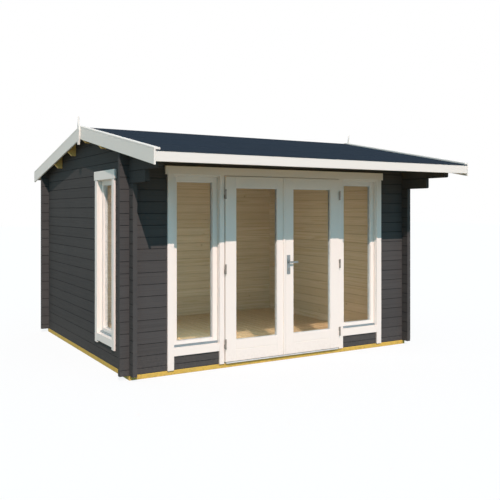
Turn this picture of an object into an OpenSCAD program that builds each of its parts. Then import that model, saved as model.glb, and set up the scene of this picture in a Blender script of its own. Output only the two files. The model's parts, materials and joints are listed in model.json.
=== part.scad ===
// Garden log cabin with glazed double doors, two fixed side lights, one side window and a
// shallow felt roof that reaches forward over the doors on stepped log brackets.
// Millimetres, +Z up, front towards -Y. The origin is on the ground under the middle of the ridge.

/* [Logs] */
// Height of one log course
log_h = 114; // [105:1:125]
// Thickness of a log
log_t = 44; // [36:1:56]
// Length of a log past the wall that it crosses
log_overhang = 95; // [60:1:130]
// Chamfer along the edges of a log
log_chamfer = 4; // [2:0.5:6]
// Width of the tongue on top of a log
tongue_w = 14; // [10:1:18]
// Height of the tongue on top of a log
tongue_h = 7; // [4:1:10]
// Play of the tongue in the groove above it
groove_play = 0.5; // [0.3:0.1:1]

/* [Walls] */
// Width over the outer faces of the side walls
wall_w = 3512; // [3400:1:3900]
// Depth over the outer faces of the front and rear walls
wall_d = 3030; // [2900:1:3300]
// Full courses in the rear wall above its half log
rear_courses = 18; // [17:1:20]
// Courses by which the front wall is higher than the rear wall
front_extra = 1; // [1:1:2]
// How far the lower bracket log runs in front of the front wall
lower_bracket = 398; // [250:1:500]
// How far the upper bracket log runs in front of the front wall
upper_bracket = 695; // [550:1:780]
// Radius of the lower corner at the end of a bracket log
bracket_round = 18; // [5:1:30]

/* [Foundation and floor] */
// Height of the foundation beams
foundation_h = 45; // [35:1:70]
// Width of a foundation beam
beam_w = 70; // [60:1:90]
// Width of a floor joist
joist_w = 45; // [35:1:60]
// Number of floor joists
joist_count = 5; // [3:1:8]
// Thickness of the floor boards
floor_t = 19; // [16:1:26]
// Gap where two timbers butt
butt_gap = 0.5; // [0.2:0.1:0.8]
// Distance of the joint in the front beam from the middle
beam_joint = 1014; // [600:1:1400]

/* [Roof] */
// Slope of the roof in degrees
roof_pitch = 10.8; // [9:0.1:13]
// How far the roof runs past the rear wall
rear_overhang = 281; // [240:1:340]
// Thickness of the roof boards
deck_t = 19; // [16:1:26]
// Gap between the roof boards and the timbers under them
deck_gap = 0.3; // [0.2:0.1:0.8]
// Thickness of the felt
felt_t = 8; // [4:0.5:10]
// Gap between the log ends and the bargeboards
verge_gap = 2; // [1:0.5:6]
// Height of the fascia boards
fascia_h = 90; // [70:1:110]
// Thickness of the fascia boards
fascia_t = 18; // [15:1:24]
// Width of the bargeboards
barge_h = 124; // [100:1:140]
// Thickness of the bargeboards
barge_t = 18; // [15:1:24]
// Width of the strips along the verges
strip_w = 58; // [45:1:70]
// Thickness of the strips along the verges
strip_t = 18; // [14:1:24]
// Gap between the felt and the strips along the verges
strip_gap = 0.3; // [0.2:0.1:0.8]
// Thickness of a purlin
purlin_w = 44; // [36:1:60]
// Height of a purlin
purlin_h = 138; // [120:1:150]
// Distance of the upper purlins from the ridge
upper_purlin = 548; // [500:1:600]
// Distance of the lower rear purlin from the ridge
lower_purlin = 1137; // [1050:1:1250]
// Size of the slanted cut under a purlin end
purlin_cut = 50; // [20:1:70]
// Play of a purlin in its notch
purlin_play = 0.6; // [0.3:0.1:0.9]
// Height of a finial
finial_h = 312; // [280:1:360]
// Greatest width of a finial
finial_w = 76; // [60:1:100]
// Thickness of a finial
finial_t = 18; // [14:1:24]
// How far a finial hangs below the bargeboards
finial_drop = 62; // [30:1:90]

/* [Front frames] */
// Depth of the door and window frames behind the wall face
frame_depth = 92; // [88:1:110]
// Gap between a frame and the log ends
fit_gap = 0.8; // [0.5:0.1:0.9]
// Settling gap over a frame
settle_gap = 12; // [5:1:20]
// Thickness of the door jambs
door_jamb_w = 30; // [24:1:40]
// Height of the door head
door_head_h = 60; // [45:1:75]
// Width of the door stops
stop_w = 16; // [10:1:22]
// Height of the metal threshold
threshold_h = 12; // [8:1:16]

/* [Doors] */
// Width of one door leaf
leaf_w = 728; // [680:1:760]
// Thickness of a door leaf
leaf_t = 42; // [36:1:48]
// How far a leaf stands in front of the wall face
leaf_proud = 30; // [26:1:36]
// Gap between the two leaves
meeting_gap = 8; // [7:1:12]
// Gap between a leaf and its frame
leaf_gap = 6; // [5.5:0.5:8]
// Width of the stile on the hinge side
hinge_stile_w = 126; // [100:1:140]
// Width of the stile on the meeting side
meeting_stile_w = 101; // [90:1:120]
// Height of the top rail
top_rail_h = 117; // [100:1:140]
// Height of the bottom rail
bottom_rail_h = 216; // [180:1:260]
// Height of the groove across the bottom rail
rail_groove_z = 117; // [90:1:150]
// Width and depth of that groove
rail_groove = 4; // [2:0.5:6]
// Distance of the glass behind the face of a leaf
leaf_glass_back = 26; // [14:1:28]
// Thickness of the glass
glass_t = 6; // [4:1:12]
// Width of the strip that covers the meeting edge
cover_w = 26; // [20:1:40]
// Thickness of the strip that covers the meeting edge
cover_t = 12; // [8:1:16]

/* [Handle] */
// Width of a handle plate
plate_w = 41; // [34:1:50]
// Height of a handle plate
plate_h = 205; // [180:1:230]
// Thickness of a handle plate
plate_t = 6; // [4:1:8]
// Height of the lever above the foot of the leaf
lever_z = 993; // [900:1:1050]
// Height of the lever above the middle of its plate
lever_over_plate = 27; // [0:1:50]
// Distance of the lever's axis from the meeting edge
backset = 36; // [30:1:50]
// Length of the lever from its axis
lever_len = 100; // [90:1:130]
// Height of the lever bar
lever_h = 20; // [14:1:24]
// Thickness of the lever bar
lever_t = 10; // [8:1:14]
// Length of the neck between plate and lever bar
neck_len = 30; // [25:1:45]
// Radius of the neck
neck_r = 9; // [7:0.5:11]
// Radius of the spindle through the leaf
spindle_r = 6; // [4:0.5:7]
// Play of the neck and the spindle in their bores
bore_play = 0.8; // [0.4:0.1:0.9]

/* [Hinges] */
// Length of a hinge
hinge_len = 100; // [80:1:120]
// Radius of a hinge knuckle
knuckle_r = 9; // [7:0.5:11]
// Radius of a hinge pin
pin_r = 4; // [3:0.5:5]
// How far a hinge pin reaches into the upper knuckle
pin_reach = 40; // [30:1:45]
// Play of the pin in the upper knuckle
pin_play = 0.3; // [0.2:0.1:0.4]
// Gap between a knuckle and the face of the leaf
knuckle_gap = 1.3; // [1:0.1:2]
// Width of a hinge flag
flag_w = 10; // [9:1:30]
// How far a hinge flag stops short of the ends of its knuckle
flag_inset = 5; // [3:1:10]
// Distance of the outer hinges from the ends of the leaf
hinge_inset = 184; // [140:1:240]

/* [Windows] */
// Clear width of a front window frame
front_clear_w = 500; // [420:1:520]
// Clear width of the side window frame
side_clear_w = 460; // [380:1:520]
// Distance of the side window's middle from the front wall face
side_window_back = 678; // [560:1:1400]
// Thickness of the window jambs
window_jamb_w = 30; // [24:1:40]
// Height of a window sill
sill_h = 46; // [36:1:56]
// Height of a front window head
front_head_h = 78; // [62:1:95]
// Height of the side window head
side_head_h = 42; // [34:1:60]
// Distance of a sash behind the wall face
sash_setback = 34; // [24:1:38]
// Thickness of a sash
sash_t = 50; // [44:1:54]
// Width of the sash stiles and top rail
sash_w = 50; // [36:1:60]
// Height of the bottom rail of a sash
sash_foot_h = 54; // [40:1:66]
// Play of a sash in its frame
sash_play = 0.5; // [0.3:0.1:0.9]
// Distance of the glass behind the face of a sash
sash_glass_back = 34; // [20:1:36]
// Fall of a sill's top from the weather bar to the wall face
sill_fall = 3; // [1:0.5:6]
// Depth of the metal weather bar in front of a sash
bar_w = 16; // [10:1:20]
// Height of a weather bar at the sash
bar_h = 22; // [14:1:30]
// Fall of a weather bar's top
bar_fall = 6; // [2:1:10]

/* [Trim boards] */
// Width of a casing board
casing_w = 68; // [55:1:90]
// Thickness of the casing and sill boards
casing_t = 20; // [15:1:24]
// Width of frame left bare beside a casing
casing_reveal = 2; // [0.5:0.5:4]
// Height of the front header board
front_header_h = 82; // [70:1:100]
// Height of the side header board
side_header_h = 94; // [70:1:110]
// Thickness of the header boards
header_t = 22; // [18:1:26]
// How far a header board runs past the casings
header_over = 24; // [0:1:40]
// Height of the boards under the windows
sill_board_h = 77; // [60:1:90]
// How far the side casings run below the sill board
casing_foot = 25; // [0:1:40]

/* [Hidden] */
$fn = 48;

// Finishes
log_grey = [0.24, 0.24, 0.24];
pine = [0.85, 0.68, 0.45];
treated = [0.80, 0.66, 0.33];
cream = [0.95, 0.92, 0.86];
felt_grey = [0.18, 0.22, 0.28];
metal = [0.62, 0.64, 0.66];
glass_tint = [0.55, 0.65, 0.68, 0.4];

// Heights of the courses: the front and rear walls start with half a log, the side walls with a whole one
function end_course_z(j) = foundation_h + (j == 0 ? 0 : log_h * (j - 0.5));
function side_course_z(k) = foundation_h + log_h * k;
front_courses = rear_courses + front_extra;
lap = log_h / 4;

// Plan: the ridge lies forward of the middle, so that each wall top meets the roof at a whole course
slope = tan(roof_pitch);
ridge_shift = log_h * front_extra / (2 * slope);
front_y = ridge_shift - wall_d / 2;
rear_y = ridge_shift + wall_d / 2;
side_x = wall_w / 2;
log_end_x = side_x + log_overhang;
roof_half = rear_y + rear_overhang;

// Underside of the roof at a distance from the ridge, and heights measured up from it
ridge_under = end_course_z(front_courses + 1) + slope * (-front_y - log_t);
function under(y) = ridge_under - slope * abs(y);
function timber_top(y) = under(y) - deck_gap;
deck_rise = deck_t / cos(roof_pitch);
felt_rise = deck_rise + felt_t / cos(roof_pitch);
strip_foot = felt_rise + strip_gap;
strip_rise = strip_foot + strip_t / cos(roof_pitch);
barge_fall = felt_rise - barge_h / cos(roof_pitch);
verge_x = log_end_x + verge_gap;
side_courses = ceil((ridge_under - foundation_h) / log_h);

// Front opening, from the middle outwards
leaf_in = meeting_gap / 2;
leaf_out = leaf_in + leaf_w;
jamb_in = leaf_out + leaf_gap;
jamb_out = jamb_in + door_jamb_w;
clear_in = jamb_out + window_jamb_w;
clear_out = clear_in + front_clear_w;
frame_out = clear_out + window_jamb_w;
lintel_course = rear_courses;
window_course = 2;
opening_top = end_course_z(lintel_course);
frame_top = opening_top - settle_gap;
head_z = frame_top - door_head_h;
front_clear_z0 = end_course_z(window_course) + sill_h;
front_clear_z1 = frame_top - front_head_h;

// Side window
side_lintel = rear_courses - 1;
side_window_y = front_y + side_window_back;
side_half = side_clear_w / 2;
side_frame_half = side_half + window_jamb_w;
side_opening_z0 = side_course_z(window_course);
side_opening_z1 = side_course_z(side_lintel);
side_clear_z0 = side_opening_z0 + sill_h;
side_clear_z1 = side_opening_z1 - settle_gap - side_head_h;

// Door leaves
leaf_z0 = foundation_h + threshold_h + leaf_gap;
leaf_z1 = head_z - leaf_gap;
leaf_front = front_y - leaf_proud;
leaf_back = leaf_front + leaf_t;
light_in = leaf_in + meeting_stile_w;
light_out = leaf_out - hinge_stile_w;
light_z0 = leaf_z0 + bottom_rail_h;
light_z1 = leaf_z1 - top_rail_h;
glass_y = leaf_front + leaf_glass_back;
axis_x = (leaf_out + jamb_in) / 2;
axis_y = leaf_front - knuckle_gap - knuckle_r;
hinge_zs = [leaf_z0 + hinge_inset, (leaf_z0 + leaf_z1) / 2, leaf_z1 - hinge_inset];

// Handle
handle_x = leaf_in + backset;
handle_z = leaf_z0 + lever_z;
plate_z = handle_z - lever_over_plate;

// A block between two corners
module block(x, y, z) {
    translate([x[0], y[0], z[0]])
        cube([x[1] - x[0], y[1] - y[0], z[1] - z[0]]);
}

// A profile drawn in Y and Z, run from x[0] to x[1]
module along_x(x) {
    translate([x[0], 0, 0])
        rotate([90, 0, 90])
            linear_extrude(x[1] - x[0])
                children();
}

// A profile drawn in X and Z, run from y[0] to y[1]
module along_y(y) {
    translate([0, y[1], 0])
        rotate([90, 0, 0])
            linear_extrude(y[1] - y[0])
                children();
}

// Its children on the right, and mirrored on the left
module both_sides() {
    children();
    mirror([1, 0, 0])
        children();
}

// Section of a log from its outer face at a = 0, with chamfered edges, tongue and groove
module log_section(z) {
    mid = log_t / 2;
    tongue = tongue_w / 2;
    groove = tongue + groove_play;
    groove_top = z[0] + tongue_h + groove_play;
    polygon([
        [log_chamfer, z[0]], [mid - groove, z[0]], [mid - groove, groove_top],
        [mid + groove, groove_top], [mid + groove, z[0]], [log_t - log_chamfer, z[0]],
        [log_t, z[0] + log_chamfer], [log_t, z[1] - log_chamfer], [log_t - log_chamfer, z[1]],
        [mid + tongue, z[1]], [mid + tongue, z[1] + tongue_h],
        [mid - tongue, z[1] + tongue_h], [mid - tongue, z[1]],
        [log_chamfer, z[1]], [0, z[1] - log_chamfer], [0, z[0] + log_chamfer]
    ]);
}

// Side view of a log over the span s, notched above and below where the walls at the crossings pass
module log_outline(s, z, crossings, round_end = 0) {
    top = z[1] + tongue_h;
    foot_lap = z[1] - z[0] < log_h ? 0 : lap;
    met = [for (c = crossings) if (c[0] > s[0] && c[1] < s[1]) c];
    difference() {
        polygon(concat(
            round_end > 0
                ? [for (a = [180:15:270]) [s[0] + round_end * (1 + cos(a)), z[0] + round_end * (1 + sin(a))]]
                : [[s[0], z[0]]],
            [[s[1], z[0]], [s[1], top], [s[0], top]]
        ));
        for (c = met) {
            translate([c[0], z[1] - lap])
                square([c[1] - c[0], lap + tongue_h]);
            if (foot_lap > 0)
                translate([c[0], z[0]])
                    square([c[1] - c[0], foot_lap]);
        }
    }
}

// Space that the logs and purlins fill under the roof boards
module under_roof() {
    polygon([
        [-roof_half, 0], [roof_half, 0],
        [roof_half, timber_top(roof_half)], [0, timber_top(0)], [-roof_half, timber_top(roof_half)]
    ]);
}

// Section of a purlin with its top cut to the roof, grown by some play
module purlin_section(y, play) {
    half = purlin_w / 2 + play;
    foot = under(y) - purlin_h - play;
    crown = y == 0 ? [[0, timber_top(0) + play]] : [];
    polygon(concat(
        [[y - half, foot], [y + half, foot], [y + half, timber_top(y + half) + play]],
        crown,
        [[y - half, timber_top(y - half) + play]]
    ));
}

purlin_ys = [-upper_purlin, 0, upper_purlin, lower_purlin];
side_crossings = [[-side_x, -side_x + log_t], [side_x - log_t, side_x]];
end_crossings = [[front_y, front_y + log_t], [rear_y - log_t, rear_y]];

// A log of the front wall (face = -1) or the rear wall (face = 1), planed level under the windows
module end_log(s, j, face) {
    z = [end_course_z(j), end_course_z(j + 1)];
    y = face < 0 ? [front_y, front_y + log_t] : [rear_y - log_t, rear_y];
    intersection() {
        along_y(y)
            difference() {
                log_outline(s, z, side_crossings);
                if (face < 0 && j == window_course - 1)
                    translate([-frame_out - fit_gap, z[1]])
                        square([2 * (frame_out + fit_gap), tongue_h]);
            }
        along_x(s)
            intersection() {
                translate([y[0], 0])
                    log_section(z);
                under_roof();
            }
    }
}

// A log of a side wall: cut to the roof, and notched for the purlins and for a window where it has one
module side_log(x, k, window) {
    z = [side_course_z(k), side_course_z(k + 1)];
    below_top = rear_courses - k;
    bracket = below_top == 2 ? lower_bracket : below_top == 1 || below_top == 0 ? upper_bracket : 0;
    s = [front_y - max(log_overhang, bracket), rear_y + log_overhang];
    intersection() {
        along_x([x, x + log_t])
            difference() {
                intersection() {
                    log_outline(s, z, end_crossings, bracket > 0 ? bracket_round : 0);
                    under_roof();
                }
                for (y = purlin_ys)
                    if (under(y) - purlin_h < z[1] + tongue_h)
                        purlin_section(y, purlin_play);
                if (window && z[1] + tongue_h > side_opening_z0 && z[0] < side_opening_z1)
                    translate([side_window_y - side_frame_half - fit_gap, side_opening_z0])
                        square([2 * (side_frame_half + fit_gap), side_opening_z1 - side_opening_z0]);
            }
        along_y(s)
            translate([x, 0])
                log_section(z);
    }
}

// Every second course of a wall, from the first one given
module front_wall(first) {
    for (j = [first:2:front_courses]) {
        opening = j < window_course ? jamb_out : j < lintel_course ? frame_out : 0;
        if (opening > 0)
            both_sides()
                end_log([opening + fit_gap, log_end_x], j, -1);
        else
            end_log([-log_end_x, log_end_x], j, -1);
    }
}

module rear_wall(first) {
    for (j = [first:2:rear_courses])
        end_log([-log_end_x, log_end_x], j, 1);
}

module side_wall(x, first, window) {
    for (k = [first:2:side_courses - 1])
        side_log(x, k, window);
}

module front_wall_odd_logs() {
    color(log_grey) front_wall(1);
}

module front_wall_even_logs() {
    color(log_grey) front_wall(0);
}

module rear_wall_odd_logs() {
    color(log_grey) rear_wall(1);
}

module rear_wall_even_logs() {
    color(log_grey) rear_wall(0);
}

module left_wall_odd_logs() {
    color(log_grey) side_wall(-side_x, 1, true);
}

module left_wall_even_logs() {
    color(log_grey) side_wall(-side_x, 0, true);
}

module right_wall_odd_logs() {
    color(log_grey) side_wall(side_x - log_t, 1, false);
}

module right_wall_even_logs() {
    color(log_grey) side_wall(side_x - log_t, 0, false);
}

// Beams under the four walls: the side beams butt between the front and rear ones, the front one has a joint
module foundation_beams() {
    z = [0, foundation_h];
    color(treated) {
        block([-side_x, beam_joint - butt_gap / 2], [front_y, front_y + beam_w], z);
        block([beam_joint + butt_gap / 2, side_x], [front_y, front_y + beam_w], z);
        block([-side_x, side_x], [rear_y - beam_w, rear_y], z);
        both_sides()
            block([side_x - beam_w, side_x], [front_y + beam_w + butt_gap, rear_y - beam_w - butt_gap], z);
    }
}

module floor_joists() {
    x = side_x - beam_w - butt_gap;
    y0 = front_y + beam_w;
    step = (wall_d - 2 * beam_w) / (joist_count + 1);
    color(treated)
        for (i = [1:joist_count])
            block([-x, x], [y0 + i * step - joist_w / 2, y0 + i * step + joist_w / 2], [0, foundation_h]);
}

// Floor boards between the walls, cut round the feet of the door frame
module floor() {
    x = side_x - log_t - butt_gap;
    color(pine)
        difference() {
            block([-x, x], [front_y + log_t + butt_gap, rear_y - log_t - butt_gap],
                [foundation_h, foundation_h + floor_t]);
            both_sides()
                block([jamb_in - stop_w - butt_gap, jamb_out + butt_gap],
                    [front_y, front_y + frame_depth + butt_gap],
                    [foundation_h - 1, foundation_h + floor_t + 1]);
        }
}

// Purlins through both gables, their ends cut back on the slant underneath
module purlins() {
    end_x = verge_x - butt_gap;
    color(pine)
        for (y = purlin_ys)
            intersection() {
                along_x([-end_x, end_x])
                    purlin_section(y, 0);
                along_y([y - purlin_w, y + purlin_w])
                    translate([0, under(y) - purlin_h])
                        polygon([
                            [-end_x + purlin_cut, 0], [end_x - purlin_cut, 0], [end_x, purlin_cut],
                            [end_x, 2 * purlin_h], [-end_x, 2 * purlin_h], [-end_x, purlin_cut]
                        ]);
            }
}

// A layer of the rear roof slope from y[0] to y[1], between two rises over the underside
module roof_layer(y, rise) {
    polygon([
        [y[0], under(y[0]) + rise[0]], [y[1], under(y[1]) + rise[0]],
        [y[1], under(y[1]) + rise[1]], [y[0], under(y[0]) + rise[1]]
    ]);
}

module front_slope() {
    mirror([0, 1, 0])
        children();
}

module roof_deck() {
    along_x([-verge_x, verge_x])
        roof_layer([0, roof_half - fascia_t], [0, deck_rise]);
}

module roof_felt() {
    along_x([-verge_x, verge_x])
        roof_layer([0, roof_half], [deck_rise, felt_rise]);
}

module front_roof_deck() {
    color(pine) front_slope() roof_deck();
}

module rear_roof_deck() {
    color(pine) roof_deck();
}

module front_roof_felt() {
    color(felt_grey) front_slope() roof_felt();
}

module rear_roof_felt() {
    color(felt_grey) roof_felt();
}

// A board on the front edge and one on the rear edge, each closing the ends of the roof boards
module fascia_boards() {
    inner = roof_half - fascia_t;
    foot = under(roof_half) + deck_rise - fascia_h;
    color(cream)
        for (slope_side = [0, 1])
            mirror([0, slope_side, 0])
                along_x([-verge_x, verge_x])
                    polygon([
                        [inner, foot], [roof_half, foot],
                        [roof_half, under(roof_half) + deck_rise], [inner, under(inner) + deck_rise]
                    ]);
}

module bargeboards() {
    color(cream)
        both_sides()
            for (slope_side = [0, 1])
                mirror([0, slope_side, 0])
                    along_x([verge_x, verge_x + barge_t])
                        roof_layer([butt_gap / 2, roof_half], [barge_fall, felt_rise]);
}

module verge_strips() {
    color(cream)
        both_sides()
            for (slope_side = [0, 1])
                mirror([0, slope_side, 0])
                    along_x([verge_x + barge_t - strip_w, verge_x + barge_t])
                        roof_layer([butt_gap / 2, roof_half], [strip_foot, strip_rise]);
}

// A flat turned-looking spire over the joint of the bargeboards: tapered foot, waist and hollow point
module finials() {
    foot = ridge_under + barge_fall - finial_drop;
    shoulder = 0.5;
    foot_share = 0.45;
    steps = 10;
    spire = [for (i = [0:steps]) [
        finial_w / 2 * pow(1 - i / steps, 1.7),
        finial_h * (shoulder + (1 - shoulder) * i / steps)
    ]];
    edge = concat([[finial_w / 2 * foot_share, 0], [finial_w / 2, finial_h * shoulder * 0.6]], spire);
    far_edge = [for (i = [len(edge) - 2:-1:0]) [-edge[i][0], edge[i][1]]];
    color(cream)
        both_sides()
            along_x([verge_x + barge_t, verge_x + barge_t + finial_t])
                translate([0, foot])
                    polygon(concat(edge, far_edge));
}

frame_y = [front_y, front_y + frame_depth];

module door_jambs() {
    color(cream)
        both_sides()
            block([jamb_in, jamb_out], frame_y, [foundation_h, head_z]);
}

module door_head() {
    color(cream)
        block([-jamb_out, jamb_out], frame_y, [head_z, frame_top]);
}

// Planted stops behind the closed leaves
module door_stops() {
    y = [leaf_back + leaf_gap, front_y + frame_depth];
    color(cream) {
        both_sides()
            block([jamb_in - stop_w, jamb_in], y, [foundation_h, head_z]);
        block([-jamb_in + stop_w + butt_gap, jamb_in - stop_w - butt_gap], y, [head_z - stop_w, head_z]);
    }
}

module door_threshold() {
    x = jamb_in - stop_w - butt_gap;
    color(metal)
        block([-x, x], [leaf_front, front_y + log_t], [foundation_h, foundation_h + threshold_h]);
}

// Places its children at the three windows. A window is drawn facing -Y with its middle at x = 0
module at_windows() {
    for (side = [-1, 1])
        translate([side * (clear_in + clear_out) / 2, front_y, 0]) {
            $half = front_clear_w / 2;
            $z0 = front_clear_z0;
            $z1 = front_clear_z1;
            $top = frame_top;
            children();
        }
    translate([-side_x, side_window_y, 0])
        rotate([0, 0, -90]) {
            $half = side_half;
            $z0 = side_clear_z0;
            $z1 = side_clear_z1;
            $top = side_opening_z1 - settle_gap;
            children();
        }
}

module window_jambs() {
    color(cream)
        at_windows()
            both_sides()
                block([$half, $half + window_jamb_w], [0, frame_depth], [$z0 - sill_h, $top]);
}

module window_heads() {
    color(cream)
        at_windows()
            block([-$half, $half], [0, frame_depth], [$z1, $top]);
}

bar_y = [sash_setback - sash_play - bar_w, sash_setback - sash_play];

// Frame sills, weathered from the metal bar down to the wall face
module window_sills() {
    color(cream)
        at_windows()
            along_x([-$half, $half])
                polygon([
                    [0, $z0 - sill_h], [frame_depth, $z0 - sill_h], [frame_depth, $z0], [bar_y[0], $z0],
                    [0, $z0 - sill_fall]
                ]);
}

// Metal bars that shed the water in front of the sashes, with a sloped top
module weather_bars() {
    color(metal)
        at_windows()
            along_x([-$half + sash_play, $half - sash_play])
                polygon([
                    [bar_y[0], $z0], [bar_y[1], $z0], [bar_y[1], $z0 + bar_h],
                    [bar_y[0], $z0 + bar_h - bar_fall]
                ]);
}

sash_y = [sash_setback, sash_setback + sash_t];

module sash_stiles() {
    color(cream)
        at_windows()
            both_sides()
                block([$half - sash_play - sash_w, $half - sash_play], sash_y,
                    [$z0 + sash_play, $z1 - sash_play]);
}

module sash_rails() {
    color(cream)
        at_windows() {
            x = $half - sash_play - sash_w;
            block([-x, x], sash_y, [$z0 + sash_play, $z0 + sash_play + sash_foot_h]);
            block([-x, x], sash_y, [$z1 - sash_play - sash_w, $z1 - sash_play]);
        }
}

module window_glass() {
    inset = sash_play + sash_w;
    y = sash_setback + sash_glass_back;
    color(glass_tint)
        at_windows()
            block([inset - $half, $half - inset], [y, y + glass_t],
                [$z0 + sash_play + sash_foot_h, $z1 - inset]);
}

trim_y = [front_y - casing_t, front_y];
side_casing_in = side_half + casing_reveal;
side_header_z = side_clear_z1 + casing_reveal;

// Upright boards: beside the front windows, between windows and doors, and beside the side window
module casings() {
    color(cream) {
        both_sides() {
            block([clear_out + casing_reveal, clear_out + casing_reveal + casing_w], trim_y,
                [foundation_h, head_z]);
            block([jamb_in + casing_reveal, clear_in - casing_reveal], trim_y, [foundation_h, head_z]);
        }
        translate([-side_x, side_window_y, 0])
            rotate([0, 0, -90])
                both_sides()
                    block([side_casing_in, side_casing_in + casing_w], [-casing_t, 0],
                        [side_clear_z0 - sill_fall - sill_board_h - casing_foot, side_header_z]);
    }
}

module header_boards() {
    front_end = clear_out + casing_reveal + casing_w + header_over;
    side_end = side_casing_in + casing_w + header_over;
    color(cream) {
        block([-front_end, front_end], [front_y - header_t, front_y], [head_z, head_z + front_header_h]);
        translate([-side_x, side_window_y, 0])
            rotate([0, 0, -90])
                block([-side_end, side_end], [-header_t, 0], [side_header_z, side_header_z + side_header_h]);
    }
}

module sill_boards() {
    color(cream)
        at_windows()
            block([-$half - casing_reveal, $half + casing_reveal], [-casing_t, 0],
                [$z0 - sill_fall - sill_board_h, $z0 - sill_fall]);
}

// Lower half of a lift-off hinge with its pin, seated on the casing
module hinge_foot() {
    seat = front_y - casing_t;
    translate([axis_x, axis_y, -hinge_len / 2]) {
        cylinder(r = knuckle_r, h = hinge_len / 2 - butt_gap);
        cylinder(r = pin_r, h = hinge_len / 2 + pin_reach);
    }
    block([axis_x + 2 * bore_play, axis_x + flag_w], [axis_y, seat],
        [flag_inset - hinge_len / 2, -flag_inset]);
}

// Upper half of a lift-off hinge, seated on the face of the leaf
module hinge_cap() {
    difference() {
        union() {
            translate([axis_x, axis_y, 0])
                cylinder(r = knuckle_r, h = hinge_len / 2);
            block([axis_x - flag_w, leaf_out - bore_play], [axis_y, leaf_front],
                [flag_inset, hinge_len / 2 - flag_inset]);
        }
        translate([axis_x, axis_y, -1])
            cylinder(r = pin_r + pin_play, h = pin_reach + 2);
    }
}

module frame_hinges() {
    color(metal)
        both_sides()
            for (z = hinge_zs)
                translate([0, 0, z])
                    hinge_foot();
}

module leaf_hinges() {
    color(metal)
        for (z = hinge_zs)
            translate([0, 0, z])
                hinge_cap();
}

leaf_y = [leaf_front, leaf_back];

module leaf_stiles() {
    color(cream) {
        block([leaf_in, light_in], leaf_y, [leaf_z0, leaf_z1]);
        block([light_out, leaf_out], leaf_y, [leaf_z0, leaf_z1]);
    }
}

// Top rail, and a deep bottom rail with a groove across both faces
module leaf_rails() {
    groove_z = [leaf_z0 + rail_groove_z - rail_groove / 2, leaf_z0 + rail_groove_z + rail_groove / 2];
    color(cream) {
        block([light_in, light_out], leaf_y, [light_z1, leaf_z1]);
        difference() {
            block([light_in, light_out], leaf_y, [leaf_z0, light_z0]);
            block([light_in - 1, light_out + 1], [leaf_front - 1, leaf_front + rail_groove], groove_z);
            block([light_in - 1, light_out + 1], [leaf_back - rail_groove, leaf_back + 1], groove_z);
        }
    }
}

module leaf_glass() {
    color(glass_tint)
        block([light_in, light_out], [glass_y, glass_y + glass_t], [light_z0, light_z1]);
}

module left_hand() {
    mirror([1, 0, 0])
        children();
}

module left_door_stiles() {
    left_hand() leaf_stiles();
}

module left_door_rails() {
    left_hand() leaf_rails();
}

module left_door_glass() {
    left_hand() leaf_glass();
}

module left_door_hinges() {
    left_hand() leaf_hinges();
}

// Strip along the meeting edge, on the outside of the left leaf
module meeting_cover() {
    color(cream)
        block([-leaf_in - cover_w, -leaf_in], [leaf_front - cover_t, leaf_front], [leaf_z0, leaf_z1]);
}

// The meeting stile of the right leaf is bored for the spindle
module right_door_stiles() {
    color(cream)
        difference() {
            leaf_stiles();
            translate([handle_x, leaf_front - 1, handle_z])
                rotate([-90, 0, 0])
                    cylinder(r = spindle_r + bore_play, h = leaf_t + 2);
        }
}

module right_door_rails() {
    leaf_rails();
}

module right_door_glass() {
    leaf_glass();
}

module right_door_hinges() {
    leaf_hinges();
}

// Long plates outside and inside, bored for the neck of the lever
module handle_plates() {
    color(metal)
        for (y = [leaf_front - plate_t, leaf_back])
            difference() {
                block([handle_x - plate_w / 2, handle_x + plate_w / 2], [y, y + plate_t],
                    [plate_z - plate_h / 2, plate_z + plate_h / 2]);
                translate([handle_x, y - 1, handle_z])
                    rotate([-90, 0, 0])
                        cylinder(r = neck_r + bore_play, h = plate_t + 2);
            }
}

// Spindle through the leaf, with a thicker neck at each end
module lever_spindle() {
    neck = neck_len + plate_t - bore_play;
    color(metal)
        translate([handle_x, 0, handle_z])
            rotate([-90, 0, 0]) {
                translate([0, 0, leaf_front - plate_t - neck_len])
                    cylinder(r = spindle_r, h = leaf_t + 2 * (plate_t + neck_len));
                translate([0, 0, leaf_front - plate_t - neck_len])
                    cylinder(r = neck_r, h = neck);
                translate([0, 0, leaf_back + bore_play])
                    cylinder(r = neck_r, h = neck);
            }
}

// Lever bars outside and inside, both pointing away from the meeting edge
module lever_grips() {
    color(metal)
        for (y = [leaf_front - plate_t - neck_len - lever_t, leaf_back + plate_t + neck_len])
            block([handle_x - lever_h / 2, handle_x + lever_len], [y, y + lever_t],
                [handle_z - lever_h / 2, handle_z + lever_h / 2]);
}

foundation_beams();
floor_joists();
floor();
front_wall_odd_logs();
front_wall_even_logs();
rear_wall_odd_logs();
rear_wall_even_logs();
left_wall_odd_logs();
left_wall_even_logs();
right_wall_odd_logs();
right_wall_even_logs();
purlins();
front_roof_deck();
rear_roof_deck();
front_roof_felt();
rear_roof_felt();
fascia_boards();
bargeboards();
verge_strips();
finials();
door_jambs();
door_head();
door_stops();
door_threshold();
window_jambs();
window_heads();
window_sills();
weather_bars();
sash_stiles();
sash_rails();
window_glass();
casings();
header_boards();
sill_boards();
frame_hinges();
left_door_stiles();
left_door_rails();
left_door_glass();
left_door_hinges();
meeting_cover();
right_door_stiles();
right_door_rails();
right_door_glass();
right_door_hinges();
handle_plates();
lever_spindle();
lever_grips();
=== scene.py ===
import json
import math
import random

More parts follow.
